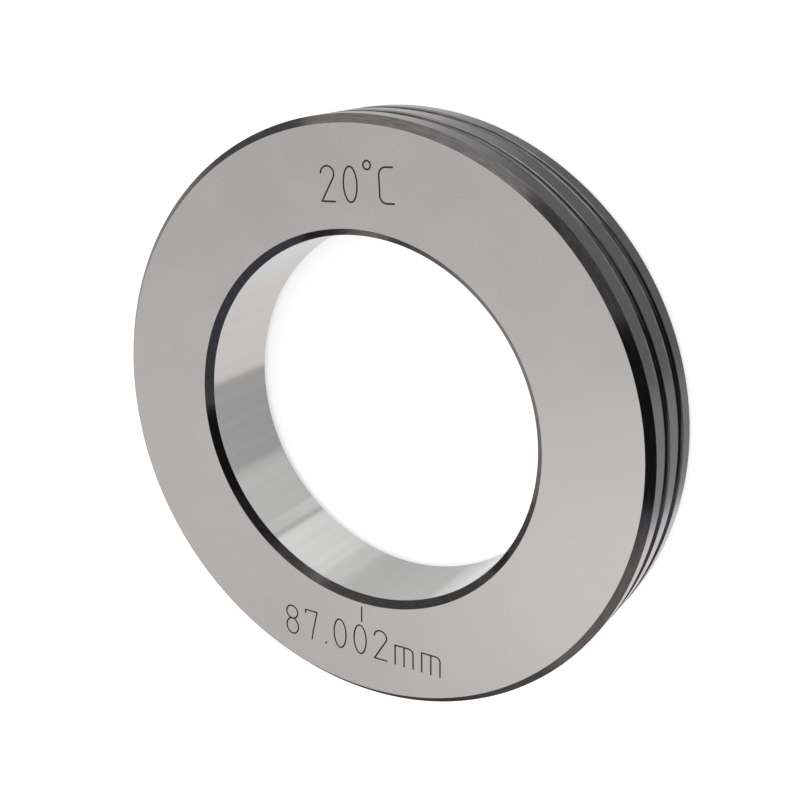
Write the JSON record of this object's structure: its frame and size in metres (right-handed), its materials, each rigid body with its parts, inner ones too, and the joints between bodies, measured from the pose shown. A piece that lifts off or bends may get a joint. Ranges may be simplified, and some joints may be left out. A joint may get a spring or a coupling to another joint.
{
  "type": "setting ring gauge",
  "caption": "Plain steel setting ring with a honed bore of known size, lapped faces, chamfered edges and grip grooves round the rim.",
  "frame": {"origin": "centre of the back face that the ring lies on", "axes": "+Z along the bore and out of the engraved face, +X the reading direction of the engraved size, +Y the way up of its figures"},
  "size_m": [0.1394, 0.1394, 0.024],
  "materials": {
    "gauge_steel": "hardened steel: fine-ground faces, honed bore, ground rim lands, blackened chamfers and grooves, fine engraved figures"
  },
  "bodies": {
    "root": {"setting_ring": "gauge_steel"}
  },
  "joints": []
}
